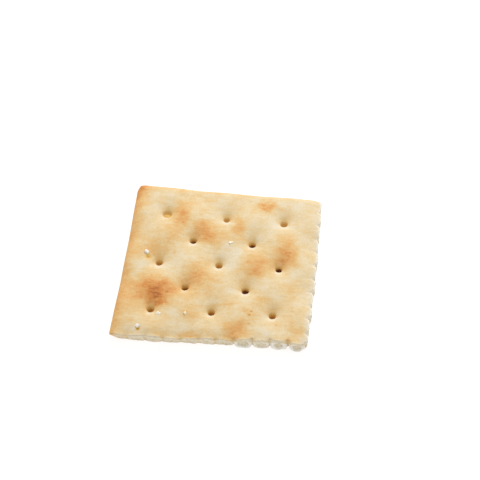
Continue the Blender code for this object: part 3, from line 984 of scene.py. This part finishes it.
# %% Wires
class Wire:
    """A socket in a material's node tree, on which sums can be written."""

    def __init__(self, tree, socket=None):
        self.tree = tree
        self.socket = socket

    def node(self, kind, settings=None, links=None, output=0):
        """Add a node: first its settings, then a value or a wire for each of its sockets."""
        node = self.tree.nodes.new(kind)
        for key, value in (settings or {}).items():
            if key == "stops":
                set_stops(node.color_ramp, value)
            else:
                setattr(node, key, value)
        fill(self.tree, node.inputs, links or {})
        return Wire(self.tree, node.outputs[output])

    def math(self, operation, first, second=0.0):
        return self.node("ShaderNodeMath", {"operation": operation}, {0: first, 1: second})

    def __add__(self, other):
        return self.math("ADD", self, other)

    def __radd__(self, other):
        return self.math("ADD", other, self)

    def __sub__(self, other):
        return self.math("SUBTRACT", self, other)

    def __rsub__(self, other):
        return self.math("SUBTRACT", other, self)

    def __mul__(self, other):
        return self.math("MULTIPLY", self, other)

    def __rmul__(self, other):
        return self.math("MULTIPLY", other, self)

    def clamp(self):
        return self.node("ShaderNodeClamp", {}, {"Value": self})

    def step(self, low, high):
        """A smooth step from 0 at low to 1 at high."""
        sockets = {"Value": self, "From Min": low, "From Max": high}
        return self.node("ShaderNodeMapRange", {"interpolation_type": "SMOOTHSTEP"}, sockets)

    def times(self, factors):
        """A vector with each of its parts multiplied."""
        return self.node("ShaderNodeVectorMath", {"operation": "MULTIPLY"}, {0: self, 1: factors})

    def noise(self, size, detail=2.0, roughness=0.5):
        """Noise from 0 to 1 at this place, with bumps of this size in metres."""
        sockets = {"Vector": self, "Scale": 1.0 / size, "Detail": detail, "Roughness": roughness}
        return self.node("ShaderNodeTexNoise", {}, sockets)

    def mix(self, colour, other):
        """Blend two colours, with this value as the share of the second."""
        return self.node("ShaderNodeMix", {"data_type": "RGBA"}, {0: self, 6: colour, 7: other}, 2)

    def darken(self, other):
        """This colour multiplied by another."""
        settings = {"data_type": "RGBA", "blend_type": "MULTIPLY"}
        return self.node("ShaderNodeMix", settings, {0: 1.0, 6: self, 7: other}, 2)

    def ramp(self, stops):
        return self.node("ShaderNodeValToRGB", {"stops": stops}, {0: self})


def fill(tree, sockets, values):
    """Put a value or a wire into each of these sockets."""
    for key, value in values.items():
        if isinstance(value, Wire):
            tree.links.new(value.socket, sockets[key])
        else:
            sockets[key].default_value = value


def set_stops(ramp, stops):
    """Give a ramp these stops, each a place and a colour."""
    ramp.elements[0].position = stops[0][0]
    ramp.elements[0].color = (*stops[0][1], 1.0)
    for number, (position, colour) in enumerate(stops[1:], 1):
        element = ramp.elements[1] if number == 1 else ramp.elements.new(position)
        element.position = position
        element.color = (*colour, 1.0)


def new_material(name):
    """A material with one shader, and a wire to start from."""
    material = bpy.data.materials.new(name)
    material.use_nodes = True
    return material, Wire(material.node_tree)


def finish(material, values):
    """Put a value or a wire into each of these sockets of the material's shader."""
    fill(material.node_tree, material.node_tree.nodes["Principled BSDF"].inputs, values)


print("wires are ready")

# %% [markdown]
# ## The crust
#
# Baked dough goes from pale cream over gold to brown as it toasts. So one number, the bake value, drives
# a colour ramp. The same number also holds painted shade behind the holes and in one valley, and painted
# highlights at the rims. The mesh brings the broad patches, and noise of several sizes breaks them up: soft
# mottling, fine streaks where the dough was rolled out, and freckles. The colours of the stops were matched
# to the photograph under this scene's light.

# %% Places and mesh values
material, start = new_material("baked crust")
place = start.node("ShaderNodeTexCoord", {}, {}, "Object")


def mesh_value(start, name):
    return start.node("ShaderNodeAttribute", {"attribute_name": name}, {}, "Fac")


bake_and_light_wire = mesh_value(start, "bake")
bore_wire = mesh_value(start, "bore")
torn_wire = mesh_value(start, "torn")
lip_wire = mesh_value(start, "lip")
under_wire = mesh_value(start, "under")
print(material.name, "reads", list(marks))

# %% The bake value, with painted shade and highlights
STREAK_SHAPE = (0.6, 1.4, 1.0)
broad = place.noise(3.0 * MM, 4.0, 0.6)
fine = place.noise(0.6 * MM, 4.0, 0.65)
streaks = place.times(STREAK_SHAPE).noise(0.8 * MM, 3.0, 0.6)
freckles = place.noise(1.3 * MM, 1.0).step(0.70, 0.80)
smudges = place.times(STREAK_SHAPE).noise(2.2 * MM, 4.0, 0.65)
PALE_BAKE = 0.12
FRECKLE_BAKE = 0.10
toast_and_light = bake_and_light_wire * (1.0 + (streaks - 0.5) * 0.8 + (fine - 0.5) * 0.5)
for pattern, weight in ((broad, 0.24), (smudges, 0.34), (streaks, 0.14), (fine, 0.18)):
    toast_and_light = toast_and_light + (pattern - 0.5) * weight
toast_and_light = toast_and_light + PALE_BAKE + freckles * FRECKLE_BAKE
crust_colour = toast_and_light.clamp().ramp((
    (0.0, (0.800, 0.690, 0.500)),
    (0.07, (0.795, 0.650, 0.420)),
    (0.15, (0.785, 0.600, 0.335)),
    (0.28, (0.765, 0.510, 0.220)),
    (0.45, (0.745, 0.405, 0.138)),
    (0.65, (0.670, 0.275, 0.064)),
    (0.85, (0.500, 0.160, 0.030)),
    (1.0, (0.270, 0.070, 0.016)),
))
print("toast goes through", len(material.node_tree.nodes), "nodes")

# %% Holes, torn crumb and underside
# The colours of the holes go from gold to dark brown: toasting, with painted shade deeper in the holes and on
# the slopes behind them.
bore_noise = place.noise(0.6 * MM, 2.0, 0.6)
bore_colour = (bore_wire + (bore_noise - 0.5) * 0.9 * bore_wire).clamp().ramp((
    (0.0, (0.770, 0.590, 0.310)),
    (0.25, (0.780, 0.525, 0.180)),
    (0.5, (0.690, 0.400, 0.100)),
    (0.75, (0.430, 0.190, 0.050)),
    (1.0, (0.220, 0.062, 0.026)),
))
# The near-white of the lips is partly paler crumb, partly painted highlight.
LIP_COLOUR = (0.950, 0.920, 0.840, 1.0)
crumb_noise = place.noise(0.45 * MM, 3.0, 0.6)
crumb_colour = crumb_noise.ramp((
    (0.25, (0.660, 0.545, 0.350)),
    (0.5, (0.800, 0.705, 0.520)),
    (0.75, (0.890, 0.825, 0.680)),
))
crumb_colour = lip_wire.mix(crumb_colour, LIP_COLOUR)
under_noise = place.noise(4.0 * MM, 5.0, 0.65) + bake_and_light_wire * under_wire
under_colour = under_noise.ramp((
    (0.30, (0.690, 0.520, 0.290)),
    (0.50, (0.640, 0.400, 0.170)),
    (0.70, (0.500, 0.240, 0.075)),
))
colour = under_wire.mix(crust_colour, under_colour)
colour = bore_wire.step(0.0, 0.25).mix(colour, bore_colour)
colour = torn_wire.mix(colour, crumb_colour)
SPECKLE = (0.925, 0.91, 0.88)
speckle = place.noise(0.4 * MM, 2.0, 0.6).ramp(((0.30, SPECKLE), (0.62, (1.0, 1.0, 1.0))))
colour = colour.darken(speckle)
finish(material, {"Base Color": colour})
print("colours are mixed")

# %% Relief and sheen
wrinkles = place.times(STREAK_SHAPE).noise(0.35 * MM, 3.0, 0.6)
pores = place.noise(0.55 * MM, 2.0).step(0.30, 0.42)
grit = place.noise(0.16 * MM, 2.0)
relief = wrinkles * 0.6 + pores * 0.4 + grit * 0.25 + torn_wire * crumb_noise * 2.0
bump = start.node("ShaderNodeBump", {}, {"Strength": 0.7, "Distance": 0.08 * MM, "Height": relief})
roughness = 0.78 - toast_and_light.clamp() * 0.16 + (fine - 0.5) * 0.1
finish(material, {"Normal": bump, "Roughness": roughness, "Specular IOR Level": 0.35})
crust.data.materials.append(material)
print(material.name, "has", len(material.node_tree.nodes), "nodes")

# %% [markdown]
# ## Salt
#
# A few coarse grains of salt are left on the cracker. Each is a blunt crystal of about a millimetre that has
# sunk into the dough, and the deeper ones are dusted with crust. Particles would scatter them at random, but
# here each grain has its own place, so a short table does. All are one mesh of small bevelled blocks, whose
# corners are jittered so that no two are alike.

# %% Grains
# The middle and the size of each grain in mm, how far it has sunk, and how dusted with crust it is.
GRAINS = (
    (-19.5, 1.40, 0.90, 0.35, 0.20),
    (-18.6, -23.2, 1.0, 0.35, 0.05),
    (-13.6, -18.65, 1.2, 0.66, 0.50),
    (2.3, 6.05, 1.0, 0.66, 0.62),
    (-6.7, -18.25, 0.8, 0.70, 0.80),
)
GRAIN_SEED = 5
GRAIN_BEVEL = 0.11
GRAIN_JITTER = 0.32
JITTER_FINE = 1.7
JITTER_READS = (0.0, 40.0, 80.0)
# The ranges of a grain's turn about each axis, and of its stretch along each.
GRAIN_TURNS = ((-0.5, 0.5), (-0.5, 0.5), (0.0, 6.3))
GRAIN_STRETCHES = ((0.85, 1.15), (0.75, 1.0), (0.45, 0.6))
GRAIN_FLAT = 0.5


def top_at(x, y):
    """The height of the cracker's top at a place in the part's frame."""
    place = Vector((x, y, 0.02))
    hit, point, normal, face = crust.ray_cast(place, Vector((0.0, 0.0, -1.0)))
    return point.z


def jitter(point):
    """A smooth shift of a point, from noise read at three far places."""
    return Vector([noise.noise(point + Vector((0.0, far, 0.0))) for far in JITTER_READS])


def grain_block(rng):
    """A blunt crystal one unit across: a cube with cut edges and jittered corners."""
    block = bmesh.new()
    where = Vector((rng.uniform(0.0, 50.0), 0.0, 0.0))
    bmesh.ops.create_cube(block, size=1.0)
    edges = block.edges[:]
    bmesh.ops.bevel(block, geom=edges, offset=GRAIN_BEVEL, segments=2, profile=0.6, affect="EDGES")
    for point in block.verts:
        point.co += GRAIN_JITTER * jitter(point.co * JITTER_FINE + where)
    return block


def add_grain(target, x, y, size, sunk, rng):
    block = grain_block(rng)
    turn = Euler([rng.uniform(*limits) for limits in GRAIN_TURNS])
    stretch = Matrix.Diagonal([rng.uniform(*limits) for limits in GRAIN_STRETCHES]).to_4x4()
    height = top_at(x * MM, y * MM) + (0.5 - sunk) * size * MM * GRAIN_FLAT
    place = Matrix.Translation((x * MM, y * MM, height)) @ turn.to_matrix().to_4x4()
    block.transform(place @ Matrix.Scale(size * MM, 4) @ stretch)
    points = [target.verts.new(point.co) for point in block.verts]
    for face in block.faces:
        target.faces.new([points[point.index] for point in face.verts])
    block.free()
    return len(points)


rng = random.Random(GRAIN_SEED)
grains = bmesh.new()
dust = []
for x, y, size, sunk, dusted in GRAINS:
    dust += [dusted] * add_grain(grains, x, y, size, sunk, rng)
salt_mesh = bpy.data.meshes.new("salt")
grains.to_mesh(salt_mesh)
grains.free()
salt_mesh.attributes.new("dust", "FLOAT", "POINT").data.foreach_set("value", dust)
salt_mesh.shade_smooth()
salt = add_object("salt", salt_mesh)
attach(salt, "root")
print(len(GRAINS), "grains,", len(salt_mesh.polygons), "faces")

# %% The finish of salt
salt_material, salt_start = new_material("coarse salt")
salt_place = salt_start.node("ShaderNodeTexCoord", {}, {}, "Object")
cloudy = salt_place.noise(0.35 * MM, 3.0, 0.6)
salt_colour = cloudy.ramp((
    (0.3, (0.82, 0.76, 0.70)),
    (0.6, (0.95, 0.91, 0.87)),
))
DUST_COLOUR = (0.86, 0.72, 0.48, 1.0)
salt_colour = mesh_value(salt_start, "dust").mix(salt_colour, DUST_COLOUR)
facets = salt_start.node("ShaderNodeBump", {}, {"Strength": 0.6, "Distance": 0.06 * MM, "Height": cloudy})
finish(salt_material, {
    "Base Color": salt_colour,
    "Normal": facets,
    "Roughness": cloudy * 0.3 + 0.22,
    "Subsurface Weight": 0.8,
    "Subsurface Radius": (1.0, 1.0, 1.0),
    "Subsurface Scale": 0.5 * MM,
    # A faint glow is painted light: it lifts the shaded side of the crystal, standing in for light scattered
    # inside it.
    "Emission Color": (1.0, 0.93, 0.86, 1.0),
    "Emission Strength": 0.05,
})
salt_mesh.materials.append(salt_material)
print(salt_material.name, "has", len(salt_material.node_tree.nodes), "nodes")

# %% [markdown]
# ## Floor and light
#
# The cracker is shown on a plain white sweep under soft light. The floor could be lit by lamps until it is
# white, but then the lamps would also burn out the cracker. So the floor glows a little by itself, which also
# fills the shadows from below, as a light table does. A white room gives the even light, and one soft lamp
# from behind draws the rims of the holes and the slopes of the puffs.

# %% Floor
floor_mesh = bpy.data.meshes.new("floor")
FLOOR_HEIGHT = -0.05 * MM
floor_corners = [(x, y, FLOOR_HEIGHT) for x, y in ((-2, -2), (2, -2), (2, 2), (-2, 2))]
floor_mesh.from_pydata(floor_corners, [], [(0, 1, 2, 3)])
floor = add_object("floor", floor_mesh)
floor_material, floor_start = new_material("pale floor")
floor_place = floor_start.node("ShaderNodeTexCoord", {}, {}, "Object")
floor_grain = floor_place.noise(4.0 * MM, 3.0, 0.6)
PAPER_DARK = (0.24, 0.24, 0.24)
PAPER_LIGHT = (0.26, 0.26, 0.26)
WHITE = (1.0, 1.0, 1.0, 1.0)
FLOOR_GLOW = 0.83
paper = floor_grain.ramp(((0.3, PAPER_DARK), (0.7, PAPER_LIGHT)))
dull = floor_grain * 0.1 + 0.65
glow = {"Emission Color": WHITE, "Emission Strength": FLOOR_GLOW}
finish(floor_material, {"Base Color": paper, "Roughness": dull, **glow})
floor_mesh.materials.append(floor_material)
print(floor_material.name, "lies", round(-FLOOR_HEIGHT / MM, 2), "mm below the cracker")

# %% Room and lamp
ROOM_LIGHT = 0.66
KEY_PLACE = (0.08, 0.95, 0.82)
KEY_AIM = (0.0, 0.0, 0.0)
KEY_SIZE = 0.45
KEY_POWER = 10.4
world = bpy.data.worlds.new("white room")
bpy.context.scene.world = world
world.use_nodes = True
room = world.node_tree.nodes["Background"].inputs
fill(world.node_tree, room, {"Color": WHITE, "Strength": ROOM_LIGHT})


def soft_light(name, place, aim, size, power):
    """A round lamp that faces a point."""
    light = bpy.data.lights.new(name, "AREA")
    light.shape = "DISK"
    light.size = size
    light.energy = power
    lamp = add_object(name, light)
    lamp.location = place
    lamp.rotation_euler = (Vector(place) - Vector(aim)).to_track_quat("Z", "Y").to_euler()
    return lamp


key = soft_light("key", KEY_PLACE, KEY_AIM, KEY_SIZE, KEY_POWER)
print("lamp", round(key.location.length, 2), "m away, behind the cracker and above it")

# %% [markdown]
# ## Camera
#
# The camera of the photograph could be guessed and nudged until the picture fits. Here it was solved from the
# thirteen holes instead: they lie on a flat lattice with a known step, and only one camera place shows them
# where the photograph does. The axes below are the camera's right, up and back directions. The long lens
# keeps the cracker almost free of perspective.

# %% Camera
CAMERA_PLACE = Vector((0.087078, -0.470154, 0.5943))
CAMERA_AXES = ((0.992, 0.1192, -0.0423), (-0.0657, 0.7714, 0.633), (0.1081, -0.6251, 0.773))
# The focal length and the width of the sensor, in mm.
LENS = 217.5
SENSOR = 36.0
camera_data = bpy.data.cameras.new("camera")
camera_data.lens = LENS
camera_data.sensor_width = SENSOR
camera = add_object("camera", camera_data)
turn = Matrix([Vector(axis).normalized() for axis in CAMERA_AXES]).transposed()
camera.matrix_world = Matrix.Translation(CAMERA_PLACE) @ turn.to_4x4()
bpy.context.scene.camera = camera
bpy.context.scene.view_settings.view_transform = "Standard"
print("camera", round(CAMERA_PLACE.length, 3), "m from the middle of the cracker")
